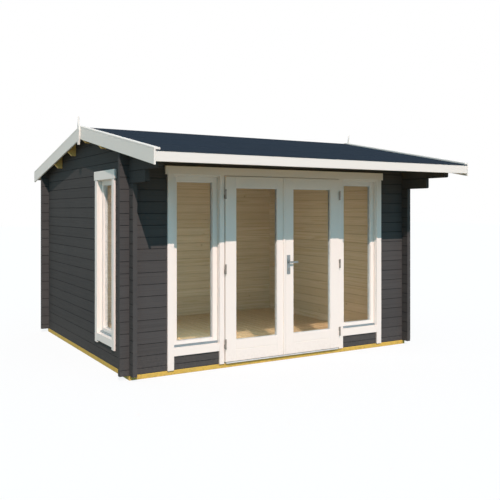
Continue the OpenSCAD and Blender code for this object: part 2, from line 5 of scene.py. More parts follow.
import bmesh
import bpy
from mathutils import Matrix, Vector

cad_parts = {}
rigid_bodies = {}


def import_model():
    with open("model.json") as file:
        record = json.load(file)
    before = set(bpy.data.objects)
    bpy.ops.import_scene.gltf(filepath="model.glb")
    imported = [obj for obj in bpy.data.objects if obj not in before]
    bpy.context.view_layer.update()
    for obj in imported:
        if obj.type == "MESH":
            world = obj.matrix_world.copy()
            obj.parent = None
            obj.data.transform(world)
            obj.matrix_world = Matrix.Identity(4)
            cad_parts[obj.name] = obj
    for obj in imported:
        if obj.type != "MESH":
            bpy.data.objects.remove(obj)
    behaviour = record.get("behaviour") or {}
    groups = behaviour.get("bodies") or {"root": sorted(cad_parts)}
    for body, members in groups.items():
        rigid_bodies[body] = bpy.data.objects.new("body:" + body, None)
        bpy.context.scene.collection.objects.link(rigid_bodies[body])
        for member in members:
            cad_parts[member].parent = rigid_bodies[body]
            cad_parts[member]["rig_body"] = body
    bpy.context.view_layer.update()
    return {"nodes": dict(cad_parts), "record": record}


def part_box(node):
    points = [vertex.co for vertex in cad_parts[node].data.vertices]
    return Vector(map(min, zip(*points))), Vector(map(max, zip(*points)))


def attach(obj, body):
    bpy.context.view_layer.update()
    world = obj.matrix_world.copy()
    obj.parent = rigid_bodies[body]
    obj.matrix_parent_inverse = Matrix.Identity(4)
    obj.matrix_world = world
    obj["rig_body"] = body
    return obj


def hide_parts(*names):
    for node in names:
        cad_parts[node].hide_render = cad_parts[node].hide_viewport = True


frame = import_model()

# Studio: a white backdrop over a pale floor, one sun from the front left, cool light from all round, and
# a soft lamp in the room that makes up for daylight through the glass. Level camera at eye height.
scene = bpy.context.scene
scene.view_settings.view_transform = "Standard"


def wire(tree, kind, inputs=None, **settings):
    """Adds a node to a tree. Each input is a plain value, or the output socket that feeds it."""
    node = tree.nodes.new(kind)
    for name, value in settings.items():
        setattr(node, name, value)
    for key, value in (inputs or {}).items():
        if isinstance(value, bpy.types.NodeSocket):
            tree.links.new(value, node.inputs[key])
        else:
            node.inputs[key].default_value = value
    return node


def calc(tree, operation, *values):
    """Works out a number with a Math node and gives the resulting socket."""
    return wire(tree, "ShaderNodeMath", dict(enumerate(values)), operation=operation).outputs[0]


def mix(tree, factor, first, second):
    """Mixes two colours and gives the resulting socket."""
    return wire(tree, "ShaderNodeMix", {0: factor, 6: first, 7: second}, data_type="RGBA").outputs[2]


def span(tree, value, low, high, at_low=0.0, at_high=1.0):
    """Maps a value from one range to another and gives the resulting socket."""
    return wire(tree, "ShaderNodeMapRange", {
        "Value": value, "From Min": low, "From Max": high, "To Min": at_low, "To Max": at_high}).outputs[0]


def xyz(tree, vector):
    """Splits a vector and gives its three sockets."""
    return wire(tree, "ShaderNodeSeparateXYZ", {0: vector}).outputs


def start_finish(name):
    """An empty node material with its tree."""
    finish = bpy.data.materials.new(name)
    finish.use_nodes = True
    finish.node_tree.nodes.clear()
    return finish, finish.node_tree


def seen_through_lens(tree):
    """A factor that is 1 for what the camera sees directly, in a mirror or through glass."""
    path = wire(tree, "ShaderNodeLightPath").outputs
    straight = calc(tree, "MAXIMUM", path["Is Camera Ray"], path["Is Transmission Ray"])
    mirrored = calc(tree, "MAXIMUM", straight, path["Is Glossy Ray"])
    unscattered = calc(tree, "LESS_THAN", path["Diffuse Depth"], 0.5)
    return calc(tree, "MULTIPLY", mirrored, unscattered)


WHITE = (1, 1, 1, 1)
SIDE_SKY = (0.22, 0.44, 0.53, 1)
FRONT_SKY = (0.27, 0.70, 0.98, 1)
sky = bpy.data.worlds.new("studio_sky")
scene.world = sky
sky.use_nodes = True
tree = sky.node_tree
tree.nodes.clear()
heading = xyz(tree, wire(tree, "ShaderNodeTexCoord").outputs["Generated"])
cool_light = mix(tree, span(tree, heading["Y"], -0.3, -0.9), SIDE_SKY, FRONT_SKY)
sky_colour = mix(tree, seen_through_lens(tree), cool_light, WHITE)
backdrop = wire(tree, "ShaderNodeBackground", {"Color": sky_colour, "Strength": 1.0})
wire(tree, "ShaderNodeOutputWorld", {"Surface": backdrop.outputs[0]})

FLOOR_BOUNCE = (0.36, 0.32, 0.24, 1)
FLOOR_GLOW = 0.86
FLOOR_REACH = 60
FLOOR_LEVEL = -0.001
floor_white, tree = start_finish("studio_floor")
seen = seen_through_lens(tree)
matt = wire(tree, "ShaderNodeBsdfDiffuse", {"Color": mix(tree, seen, FLOOR_BOUNCE, WHITE)})
glow = wire(tree, "ShaderNodeEmission", {"Color": WHITE, "Strength": 1.0})
floor_mix = wire(tree, "ShaderNodeMixShader", {
    0: calc(tree, "MULTIPLY", seen, FLOOR_GLOW), 1: matt.outputs[0], 2: glow.outputs[0]})
wire(tree, "ShaderNodeOutputMaterial", {"Surface": floor_mix.outputs[0]})

floor_mesh = bpy.data.meshes.new("studio_floor")
floor_corners = [
    (x * FLOOR_REACH, y * FLOOR_REACH, FLOOR_LEVEL) for x, y in ((-1, -1), (1, -1), (1, 1), (-1, 1))]
floor_mesh.from_pydata(floor_corners, [], [(0, 1, 2, 3)])
floor_mesh.materials.append(floor_white)
studio_floor = bpy.data.objects.new("studio_floor", floor_mesh)
scene.collection.objects.link(studio_floor)


def hang_light(light, heading):
    """Puts a light in the scene, turned to shine along a heading."""
    holder = bpy.data.objects.new(light.name, light)
    holder.rotation_euler = Vector(heading).to_track_quat("-Z", "Y").to_euler()
    scene.collection.objects.link(holder)
    return holder


SUN_HEADING = (0.262, 0.727, -0.6235)
sun = bpy.data.lights.new("sun", "SUN")
sun.energy = 3.35
sun.color = (1.0, 0.80, 0.735)
sun.angle = math.radians(0.35)
hang_light(sun, SUN_HEADING)

LAMP_PLACE = (-0.60, -0.50, 1.20)
LAMP_HEADING = (0.58, 0.66, -0.48)
room_lamp = bpy.data.lights.new("room_lamp", "AREA")
room_lamp.energy = 20
room_lamp.color = (0.60, 0.84, 1.0)
room_lamp.shape = "RECTANGLE"
room_lamp.size = 1.3
room_lamp.size_y = 0.6
lamp_holder = hang_light(room_lamp, LAMP_HEADING)
lamp_holder.location = LAMP_PLACE
lamp_holder.visible_camera = False
lamp_holder.visible_glossy = False
lamp_holder.visible_transmission = False

PHOTO_SIDE = 500
FOCAL_PIXELS = 674.84
HORIZON_ROW = 209.87
EYE_PLACE = (-4.0387, -7.2953, 1.6186)
EYE_TURN = -30.73
camera = bpy.data.cameras.new("camera")
camera.sensor_width = 36
camera.lens = FOCAL_PIXELS * camera.sensor_width / PHOTO_SIDE
camera.shift_y = (HORIZON_ROW - PHOTO_SIDE / 2) / PHOTO_SIDE
viewpoint = bpy.data.objects.new("camera", camera)
viewpoint.location = EYE_PLACE
viewpoint.rotation_euler = (math.radians(90), 0, math.radians(EYE_TURN))
scene.collection.objects.link(viewpoint)
scene.camera = viewpoint

# Foundation: pressure treated softwood beams laid flat on the ground under the walls, with sawn joists
# butted between them. The treatment salts give the yellow tint, and patches of it turn greenish.
slots = {part["node"]: part["material_slot"] for part in frame["record"]["subparts"]}


def new_group(name, kind, inputs, outputs):
    """An empty node group with named sockets, and the sockets that its input node gives."""
    group = bpy.data.node_groups.new(name, kind)
    for way, sockets in (("INPUT", inputs), ("OUTPUT", outputs)):
        for socket, value in sockets.items():
            group.interface.new_socket(socket, in_out=way, socket_type="NodeSocket" + value)
    return group, wire(group, "NodeGroupInput").outputs


def surface_place(tree):
    """The place of the shaded point on its piece."""
    return wire(tree, "ShaderNodeTexCoord").outputs["Object"]


def make_timber_figure():
    """The figure of softwood from a grain vector: rings round the heart, fine fibre along it, and knots."""
    group, given = new_group(
        "timber_figure", "ShaderNodeTree", {"Grain": "Vector", "Ring Scale": "Float"},
        {"Rings": "Float", "Fibre": "Float", "Knot": "Float"})
    grain = given["Grain"]
    drawn = wire(group, "ShaderNodeMapping", {"Vector": grain, "Scale": (0.05, 1, 1)})
    rings = wire(group, "ShaderNodeTexWave", {
        "Vector": drawn.outputs[0], "Scale": given["Ring Scale"], "Distortion": 7.0, "Detail": 2.0,
        "Detail Scale": 0.8, "Detail Roughness": 0.55}, wave_type="RINGS", rings_direction="X")
    thin = wire(group, "ShaderNodeMapping", {"Vector": grain, "Scale": (4, 420, 420)})
    fibre = wire(group, "ShaderNodeTexNoise", {"Vector": thin.outputs[0], "Scale": 1.0, "Detail": 3.0})
    cells = wire(group, "ShaderNodeTexVoronoi", {"Vector": grain, "Scale": 3.2, "Randomness": 1.0},
                 voronoi_dimensions="2D")
    chance = wire(group, "ShaderNodeSeparateColor", {"Color": cells.outputs["Color"]}).outputs
    girth = span(group, chance[0], 0.55, 1.0, 0.001, 0.055)
    knot = span(group, calc(group, "DIVIDE", cells.outputs["Distance"], girth), 1.0, 0.55)
    wire(group, "NodeGroupOutput", {
        "Rings": rings.outputs["Fac"], "Fibre": fibre.outputs["Fac"], "Knot": knot})
    return group


def make_weathering():
    """Slow patches of tone over a surface, and splashed dirt that fades out above the ground."""
    group, given = new_group(
        "weathering", "ShaderNodeTree", {"Patch Scale": "Float", "Splash Height": "Float"},
        {"Patches": "Float", "Splash": "Float"})
    place = surface_place(group)
    patches = wire(group, "ShaderNodeTexNoise", {
        "Vector": place, "Scale": given["Patch Scale"], "Detail": 4.0, "Roughness": 0.6})
    height_share = calc(group, "DIVIDE", xyz(group, place)["Z"], given["Splash Height"])
    low = span(group, height_share, 0.0, 1.0, 1.0, 0.0)
    specks = wire(group, "ShaderNodeTexNoise", {
        "Vector": place, "Scale": 38.0, "Detail": 5.0, "Roughness": 0.7})
    spotted = span(group, specks.outputs["Fac"], 0.42, 0.70)
    wire(group, "NodeGroupOutput", {
        "Patches": patches.outputs["Fac"], "Splash": calc(group, "MULTIPLY", low, spotted)})
    return group


timber_figure = make_timber_figure()
weathering = make_weathering()


def timber_nodes(tree, ring_scale):
    """The figure and the tone of the timber that is shaded."""
    grain = wire(tree, "ShaderNodeAttribute", attribute_name="grain")
    tone = wire(tree, "ShaderNodeAttribute", attribute_name="tone")
    figure = wire(tree, "ShaderNodeGroup", {
        "Grain": grain.outputs["Vector"], "Ring Scale": ring_scale}, node_tree=timber_figure)
    return figure.outputs, tone.outputs["Fac"]


def weather_nodes(tree, patch_scale, splash_height):
    """The weathering of the surface that is shaded."""
    return wire(tree, "ShaderNodeGroup", {
        "Patch Scale": patch_scale, "Splash Height": splash_height}, node_tree=weathering).outputs


def end_finish(tree, height, depth, inputs):
    """Closes a material with relief and a Principled shader."""
    relief = wire(tree, "ShaderNodeBump", {"Height": height, "Distance": depth, "Strength": 0.6})
    shader = wire(tree, "ShaderNodeBsdfPrincipled", {**inputs, "Normal": relief.outputs[0]})
    wire(tree, "ShaderNodeOutputMaterial", {"Surface": shader.outputs[0]})


def loose_parts(bm):
    """The vertices of each connected part of a mesh, one list for each part."""
    parts = []
    for first in bm.verts:
        if first.tag:
            continue
        first.tag = True
        part = [first]
        for vert in part:
            for edge in vert.link_edges:
                other = edge.other_vert(vert)
                if not other.tag:
                    other.tag = True
                    part.append(other)
        parts.append(part)
    return parts


def box_of(verts):
    """The lowest and the highest corner of the box round some vertices."""
    return [[pick(vert.co[i] for vert in verts) for i in range(3)] for pick in (min, max)]


HEART_SPREAD = 9
HEART_OFFSET = 0.02
HEART_DEPTHS = (0.03, 0.08)


def mark_grain(bm, seed):
    """Gives each timber its own grain: along its longest side, then across its wide and its thin side."""
    grain = bm.verts.layers.float_vector.new("grain")
    tone = bm.verts.layers.float.new("tone")
    chance = random.Random(seed)
    for timber in loose_parts(bm):
        low, high = box_of(timber)
        axes = sorted(range(3), key=lambda i: low[i] - high[i])
        heart = Vector((
            chance.uniform(0, HEART_SPREAD), chance.uniform(-HEART_OFFSET, HEART_OFFSET),
            chance.uniform(*HEART_DEPTHS)))
        shade = chance.random()
        for vert in timber:
            along, wide, thin = (vert.co[i] - (low[i] + high[i]) / 2 for i in axes)
            vert[grain] = Vector((along, wide, thin)) + heart
            vert[tone] = shade


def add_piece(name, bm, finish, body):
    """Turns a finished bmesh into a piece that rides on a body."""
    mesh = bpy.data.meshes.new(name)
    bm.to_mesh(mesh)
    bm.free()
    mesh.materials.append(finish)
    piece = bpy.data.objects.new(name, mesh)
    scene.collection.objects.link(piece)
    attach(piece, body)
    return piece


WELD_DISTANCE = 1e-5
FLAT_ANGLE = 0.01
ARRIS_ANGLE = 0.6


def welded(node):
    """A bmesh of a CAD node, with the vertices of its facets joined."""
    bm = bmesh.new()
    bm.from_mesh(frame["nodes"][node].data)
    bmesh.ops.remove_doubles(bm, verts=bm.verts, dist=WELD_DISTANCE)
    return bm


def dressed(node, finish, ease, steps=2):
    """A copy of a CAD node with eased edges, which takes its place."""
    source = frame["nodes"][node]
    bm = welded(node)
    if ease:
        bmesh.ops.dissolve_limit(bm, angle_limit=FLAT_ANGLE, verts=bm.verts, edges=bm.edges)
        arrises = [edge for edge in bm.edges if edge.is_manifold and edge.calc_face_angle() > ARRIS_ANGLE]
        bmesh.ops.bevel(bm, geom=arrises, offset=ease, segments=steps, profile=0.5, affect="EDGES",
                        clamp_overlap=True)
    mark_grain(bm, node)
    piece = add_piece(node + "_dressed", bm, finish, source["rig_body"])
    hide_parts(node)
    return piece


treated_timber, tree = start_finish("treated_timber")
figure, tone = timber_nodes(tree, 30.0)
weather = weather_nodes(tree, 5.0, 0.07)
sapwood = mix(tree, tone, (0.70, 0.46, 0.085, 1), (0.60, 0.41, 0.080, 1))
ringed = mix(tree, span(tree, figure["Rings"], 0.35, 0.95), sapwood, (0.50, 0.31, 0.065, 1))
knotted = mix(tree, figure["Knot"], ringed, (0.22, 0.12, 0.03, 1))
greenish = mix(tree, span(tree, weather["Patches"], 0.5, 0.8, 0.0, 0.45), knotted, (0.42, 0.38, 0.12, 1))
soiled = mix(tree, span(tree, weather["Splash"], 0.0, 1.0, 0.0, 0.5), greenish, (0.16, 0.12, 0.06, 1))
end_finish(tree, figure["Fibre"], 0.0012, {
    "Base Color": soiled, "Roughness": span(tree, figure["Fibre"], 0.2, 0.8, 0.70, 0.88)})

for node in ("foundation_beams", "floor_joists"):
    dressed(node, treated_timber, ease=0.003)

# Floor: planed pine boards with a small V at each joint, nailed across the joists from the doors to the
# rear wall. Each board has its own tone, as boards from different trees do.
def pine_finish(name, pale, deep, late_wood):
    """Planed pine between a pale and a deep tone, with darker late wood, fibre and knots."""
    finish, tree = start_finish(name)
    figure, tone = timber_nodes(tree, 34.0)
    sapwood = mix(tree, tone, pale, deep)
    ringed = mix(tree, span(tree, figure["Rings"], 0.45, 1.0, 0.0, 0.75), sapwood, late_wood)
    streaked = mix(tree, span(tree, figure["Fibre"], 0.35, 0.75, 0.0, 0.25), ringed, (0.47, 0.29, 0.13, 1))
    knotted = mix(tree, figure["Knot"], streaked, (0.20, 0.085, 0.03, 1))
    end_finish(tree, figure["Fibre"], 0.0006, {
        "Base Color": knotted, "Roughness": span(tree, figure["Rings"], 0.0, 1.0, 0.62, 0.50)})
    return finish


bare_pine = pine_finish("bare_pine", (0.73, 0.53, 0.31, 1), (0.63, 0.44, 0.245, 1), (0.50, 0.31, 0.15, 1))
BOARD_HEART_DEPTH = 0.05


def make_board_field():
    """A row of boards side by side, each run along Y from a start, with chamfered edges and its own tone."""
    tree, size = new_group("board_field", "GeometryNodeTree", {
        "Boards": "Int", "Pitch": "Float", "Joint": "Float", "Start": "Float", "Length": "Float",
        "Thickness": "Float", "Chamfer": "Float", "Height": "Float", "Fall": "Float", "Seed": "Int",
        "Finish": "Material"}, {"Geometry": "Geometry"})
    outline = wire(tree, "GeometryNodeCurvePrimitiveQuadrilateral", {
        "Width": calc(tree, "SUBTRACT", size["Pitch"], size["Joint"]), "Height": size["Thickness"]})
    arrised = wire(tree, "GeometryNodeFilletCurve", {
        "Curve": outline.outputs[0], "Radius": size["Chamfer"]}, mode="POLY")
    near = wire(tree, "ShaderNodeCombineXYZ", {"Y": size["Start"]})
    far = wire(tree, "ShaderNodeCombineXYZ", {"Y": calc(tree, "ADD", size["Start"], size["Length"])})
    run = wire(tree, "GeometryNodeCurvePrimitiveLine", {"Start": near.outputs[0], "End": far.outputs[0]})
    board = wire(tree, "GeometryNodeCurveToMesh", {
        "Curve": run.outputs[0], "Profile Curve": arrised.outputs[0], "Fill Caps": True})
    half_row = calc(tree, "MULTIPLY", calc(tree, "SUBTRACT", size["Boards"], 1.0), -0.5)
    first = wire(tree, "ShaderNodeCombineXYZ", {
        "X": calc(tree, "MULTIPLY", half_row, size["Pitch"]), "Z": size["Height"]})
    step = wire(tree, "ShaderNodeCombineXYZ", {"X": size["Pitch"]})
    row = wire(tree, "GeometryNodeMeshLine", {
        "Count": size["Boards"], "Start Location": first.outputs[0], "Offset": step.outputs[0]})
    laid = wire(tree, "GeometryNodeInstanceOnPoints", {
        "Points": row.outputs[0], "Instance": board.outputs[0]})
    chance = wire(tree, "FunctionNodeRandomValue", {"Seed": size["Seed"]}, data_type="FLOAT")
    toned = wire(tree, "GeometryNodeStoreNamedAttribute", {
        "Geometry": laid.outputs[0], "Name": "tone", "Value": chance.outputs[1]},
        data_type="FLOAT", domain="INSTANCE")
    middle = wire(tree, "GeometryNodeInputPosition")
    centred = wire(tree, "GeometryNodeStoreNamedAttribute", {
        "Geometry": toned.outputs[0], "Name": "middle", "Value": middle.outputs[0]},
        data_type="FLOAT_VECTOR", domain="INSTANCE")
    solid = wire(tree, "GeometryNodeRealizeInstances", {"Geometry": centred.outputs[0]})
    tone = wire(tree, "GeometryNodeInputNamedAttribute", {"Name": "tone"}, data_type="FLOAT")
    centre = wire(tree, "GeometryNodeInputNamedAttribute", {"Name": "middle"}, data_type="FLOAT_VECTOR")
    place = wire(tree, "GeometryNodeInputPosition")
    inside = wire(tree, "ShaderNodeVectorMath", {
        0: place.outputs[0], 1: centre.outputs[0]}, operation="SUBTRACT")
    part = xyz(tree, inside.outputs[0])
    grain = wire(tree, "ShaderNodeCombineXYZ", {
        "X": calc(tree, "MULTIPLY_ADD", tone.outputs[0], HEART_SPREAD, part["Y"]), "Y": part["X"],
        "Z": calc(tree, "ADD", part["Z"], BOARD_HEART_DEPTH)})
    figured = wire(tree, "GeometryNodeStoreNamedAttribute", {
        "Geometry": solid.outputs[0], "Name": "grain", "Value": grain.outputs[0]},
        data_type="FLOAT_VECTOR", domain="POINT")
    fall = calc(tree, "MULTIPLY", xyz(tree, place.outputs[0])["Y"], size["Fall"])
    drop = wire(tree, "ShaderNodeCombineXYZ", {"Z": calc(tree, "MULTIPLY", fall, -1.0)})
    pitched = wire(tree, "GeometryNodeSetPosition", {
        "Geometry": figured.outputs[0], "Offset": drop.outputs[0]})
    painted = wire(tree, "GeometryNodeSetMaterial", {
        "Geometry": pitched.outputs[0], "Material": size["Finish"]})
    wire(tree, "NodeGroupOutput", {"Geometry": painted.outputs[0]})
    return tree


def grown(name, tree, body, slot, mesh=None, **sizes):
    """A plain mesh made by a Geometry Nodes tree from named sizes, riding on a body."""
    piece = bpy.data.objects.new(name, mesh or bpy.data.meshes.new(name))
    scene.collection.objects.link(piece)
    maker = piece.modifiers.new("maker", "NODES")
    maker.node_group = tree
    for item in tree.interface.items_tree:
        if item.in_out == "INPUT" and item.name in sizes:
            maker[item.identifier] = sizes[item.name]
    made = bpy.data.meshes.new_from_object(piece.evaluated_get(bpy.context.evaluated_depsgraph_get()))
    piece.modifiers.clear()
    piece.data = made
    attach(piece, body)
    return piece


board_field = make_board_field()
floor_low, floor_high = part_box("floor")
FLOOR_BOARDS = 38
floor_boards = grown(
    "floor_boards", board_field, "cabin", slots["floor"], Boards=FLOOR_BOARDS,
    Pitch=(floor_high.x - floor_low.x) / FLOOR_BOARDS, Joint=0.0012, Start=floor_low.y,
    Length=floor_high.y - floor_low.y, Thickness=floor_high.z - floor_low.z, Chamfer=0.0018,
    Height=(floor_high.z + floor_low.z) / 2, Fall=0.0, Seed=4, Finish=bare_pine)
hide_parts("floor")

# Walls: machined logs with tongue, groove and chamfered edges, stacked so that they lock at the corners.
# The outside is brushed with an opaque anthracite stain; the room side is left as bare pine.
stained_logs, tree = start_finish("stained_logs")
figure, tone = timber_nodes(tree, 26.0)
weather = weather_nodes(tree, 1.6, 0.35)
place = xyz(tree, surface_place(tree))
HALF_LOG = 0.022
within_sides = calc(tree, "LESS_THAN", calc(tree, "ABSOLUTE", place["X"]), floor_high.x + HALF_LOG)
behind_front = calc(tree, "GREATER_THAN", place["Y"], floor_low.y - HALF_LOG)
before_rear = calc(tree, "LESS_THAN", place["Y"], floor_high.y + HALF_LOG)
room_side = calc(tree, "MULTIPLY", calc(tree, "MULTIPLY", within_sides, behind_front), before_rear)
# Painted shade: the steep chamfered faces in the joints between logs are darkened, strongly on the stain and
# lightly on the bare pine, to stand in for the shade in the V-joints.
steepness = calc(tree, "ABSOLUTE", xyz(tree, wire(tree, "ShaderNodeNewGeometry").outputs["Normal"])["Z"])
joint_shade = calc(tree, "MULTIPLY", span(tree, steepness, 0.25, 0.45), span(tree, steepness, 0.97, 0.88))

stain = mix(tree, tone, (0.079, 0.077, 0.076, 1), (0.070, 0.068, 0.067, 1))
raised = mix(tree, span(tree, figure["Rings"], 0.5, 1.0, 0.0, 0.35), stain, (0.052, 0.050, 0.049, 1))
brushed = mix(tree, span(tree, figure["Fibre"], 0.45, 0.8, 0.0, 0.45), raised, (0.100, 0.093, 0.087, 1))
patched = mix(tree, span(tree, weather["Patches"], 0.45, 0.75, 0.0, 0.4), brushed, (0.060, 0.059, 0.060, 1))
# Painted shade in the joints on the stained outside.
joint_shaded_stain = mix(tree, calc(tree, "MULTIPLY", joint_shade, 0.62), patched, (0.022, 0.023, 0.024, 1))
dusty = mix(tree, span(tree, weather["Splash"], 0.0, 1.0, 0.0, 0.30), joint_shaded_stain, (0.16, 0.145, 0.125, 1))

pine = mix(tree, tone, (0.71, 0.525, 0.325, 1), (0.63, 0.455, 0.275, 1))
ringed = mix(tree, span(tree, figure["Rings"], 0.45, 1.0, 0.0, 0.6), pine, (0.53, 0.36, 0.18, 1))
knotted = mix(tree, span(tree, figure["Knot"], 0.0, 1.0, 0.0, 0.5), ringed, (0.30, 0.17, 0.08, 1))
# Painted shade in the joints on the bare pine of the room side.
joint_shaded_pine = mix(tree, calc(tree, "MULTIPLY", joint_shade, 0.28), knotted, (0.28, 0.17, 0.08, 1))

log_relief = calc(tree, "MULTIPLY_ADD", figure["Rings"], 0.35, figure["Fibre"])
end_finish(tree, log_relief, 0.0009, {
    "Base Color": mix(tree, room_side, dusty, joint_shaded_pine),
    "Roughness": span(tree, figure["Fibre"], 0.2, 0.8, 0.58, 0.74), "Specular IOR Level": 0.02})

for wall in ("front", "rear", "left", "right"):
    for course in ("odd", "even"):
        dressed(wall + "_wall_" + course + "_logs", stained_logs, ease=0)

# Purlins: four planed pine beams that run from gable to gable in notches and carry the roof boards.
# Their ends stand out under the verge, cut back on the slant and left bare.
yellow_pine = pine_finish(
    "yellow_pine", (0.79, 0.54, 0.16, 1), (0.70, 0.47, 0.13, 1), (0.57, 0.36, 0.09, 1))
dressed("purlins", yellow_pine, ease=0.003)

# Roof boards: tongued pine boards nailed side by side on the purlins, from the ridge down to the eaves.
# Their planed undersides show in the room and under the overhangs.
ROOF_BOARDS = 42
END_MARGIN = 0.001


def eaves_top(node, reach):
    """The height of a sloping node's top at its lower end, which lies that far from the ridge."""
    corners = frame["nodes"][node].data.vertices
    return max(v.co.z for v in corners if abs(v.co.y) > reach - END_MARGIN)


for side, fall_sign in (("front", -1), ("rear", 1)):
    low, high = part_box(side + "_roof_deck")
    reach = high.y - low.y
    rise = eaves_top(side + "_roof_deck", reach)
    deck_fall = (high.z - rise) / reach
    thickness = rise - low.z
    boards = grown(
        side + "_roof_boards", board_field, "cabin", slots[side + "_roof_deck"], Boards=ROOF_BOARDS,
        Pitch=(high.x - low.x) / ROOF_BOARDS, Joint=0.0015, Start=low.y, Length=reach, Thickness=thickness,
        Chamfer=0.0035, Height=high.z - thickness / 2, Fall=fall_sign * deck_fall, Seed=8 + fall_sign,
        Finish=yellow_pine)
    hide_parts(side + "_roof_deck")

# Roof felt: sheets of bitumen felt faced with dark slate grit, rolled out along the roof from the eaves
# up, each lapped over the one below, turned down over the fascia, with a folded strip over the ridge.
roof_felt, tree = start_finish("roof_felt")
weather = weather_nodes(tree, 0.9, 0.05)
grit = wire(tree, "ShaderNodeTexVoronoi", {"Vector": surface_place(tree), "Scale": 420.0})
flake = wire(tree, "ShaderNodeSeparateColor", {"Color": grit.outputs["Color"]}).outputs[0]
slate = mix(tree, flake, (0.021, 0.030, 0.043, 1), (0.038, 0.051, 0.069, 1))
pale_grit = mix(tree, span(tree, flake, 0.95, 0.99), slate, (0.08, 0.09, 0.11, 1))
faded = mix(tree, span(tree, weather["Patches"], 0.35, 0.75, 0.0, 0.30), pale_grit, (0.033, 0.041, 0.051, 1))
end_finish(tree, grit.outputs["Distance"], 0.0010, {
    "Base Color": faded, "Roughness": span(tree, flake, 0.0, 1.0, 0.82, 0.95), "Specular IOR Level": 0.0})

# For each sheet: where it starts, as a share of the way down the slope, and how high it stands at its
# upper and at its lower end, as shares of the felt's full thickness
FELT_LAPS = ((0.0, 1.0, 0.95), (0.42, 0.72, 0.95), (0.74, 0.70, 0.88))
DRIP = 0.0025
DRIP_THICKNESS = 0.003


def felt_run(name, section, low_x, high_x):
    """A length of felt along the roof with one section all the way, given as Y and Z."""
    bm = bmesh.new()
    ends = [[bm.verts.new((x, y, z)) for y, z in section] for x in (low_x, high_x)]
    for i in range(len(section)):
        bm.faces.new((ends[0][i - 1], ends[0][i], ends[1][i], ends[1][i - 1]))
    for end in ends:
        bm.faces.new(end)
    bmesh.ops.triangulate(bm, faces=[face for face in bm.faces if len(face.verts) > 4])
    bmesh.ops.recalc_face_normals(bm, faces=bm.faces)
    return add_piece(name, bm, roof_felt, "cabin")


for side, toward in (("front", -1), ("rear", 1)):
    node = side + "_roof_felt"
    low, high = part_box(node)
    reach = high.y - low.y
    edge_top = eaves_top(node, reach)
    fall = (high.z - edge_top) / reach
    sheet = edge_top - low.z
    section = []
    for i, (start, upper, lower) in enumerate(FELT_LAPS):
        stop = FELT_LAPS[i + 1][0] if i + 1 < len(FELT_LAPS) else 1.0
        for share, cover in ((start, upper), (stop, lower)):
            section.append((share * reach, sheet * cover))
    nose = reach + DRIP_THICKNESS
    section += [(nose, sheet * lower), (nose, -DRIP), (reach, -DRIP), (reach, 0.0), (0.0, 0.0)]
    pitched = [(toward * y, high.z - sheet - fall * y + lift) for y, lift in section]
    felt = felt_run(side + "_felt_sheets", pitched, low.x, high.x)
    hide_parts(node)

RIDGE_REACH = 0.16
RIDGE_THICKNESS = 0.006
RIDGE_BED = 0.001
STRIP_PLAY = 0.001
between_strips = min(abs(v.co.x) for v in frame["nodes"]["verge_strips"].data.vertices) - STRIP_PLAY
ridge_foot = high.z - fall * RIDGE_REACH
ridge_bottom = ridge_foot - RIDGE_BED
ridge_edge = ridge_foot + RIDGE_THICKNESS / 2
felt_run("ridge_strip", [
    (-RIDGE_REACH, ridge_bottom), (-RIDGE_REACH, ridge_edge), (0.0, high.z + RIDGE_THICKNESS),
    (RIDGE_REACH, ridge_edge), (RIDGE_REACH, ridge_bottom), (0.0, high.z - RIDGE_BED)],
    -between_strips, between_strips)

# Roof edges: fascia boards along the eaves, bargeboards up the gables with a strip over the felt, and a
# sawn finial over each joint at the ridge. Planed softwood, primed and painted cream, screwed on.
def paint_finish(name, first_coat, second_coat, chalk):
    """Opaque paint on planed softwood, with brush marks, the grain just showing, and chalky patches."""
    finish, tree = start_finish(name)
    figure, tone = timber_nodes(tree, 22.0)
    weather = weather_nodes(tree, 2.2, 0.22)
    coat = mix(tree, tone, first_coat, second_coat)
    thin_coat = mix(tree, span(tree, figure["Rings"], 0.6, 1.0, 0.0, 0.14), coat, (0.80, 0.72, 0.62, 1))
    brushed = mix(tree, span(tree, figure["Fibre"], 0.5, 0.8, 0.0, 0.16), thin_coat, (0.93, 0.88, 0.81, 1))
    aged = mix(tree, span(tree, weather["Patches"], 0.5, 0.8, 0.0, 0.18), brushed, chalk)
    splashed = mix(tree, span(tree, weather["Splash"], 0.0, 1.0, 0.0, 0.25), aged, (0.50, 0.44, 0.36, 1))
    end_finish(tree, figure["Fibre"], 0.0004, {
        "Base Color": splashed, "Roughness": span(tree, figure["Fibre"], 0.2, 0.8, 0.38, 0.50),
        "Specular IOR Level": 0.25})
    return finish


weathered_cream = paint_finish(
    "weathered_cream", (0.80, 0.755, 0.69, 1), (0.785, 0.735, 0.67, 1), (0.74, 0.70, 0.65, 1))

for node in ("fascia_boards", "bargeboards", "verge_strips"):
    dressed(node, weathered_cream, ease=0.003)
dressed("finials", weathered_cream, ease=0.002)

HEAD_RADIUS = 0.0042
HEAD_HEIGHT = 0.0007
HEAD_TAPER = 0.8


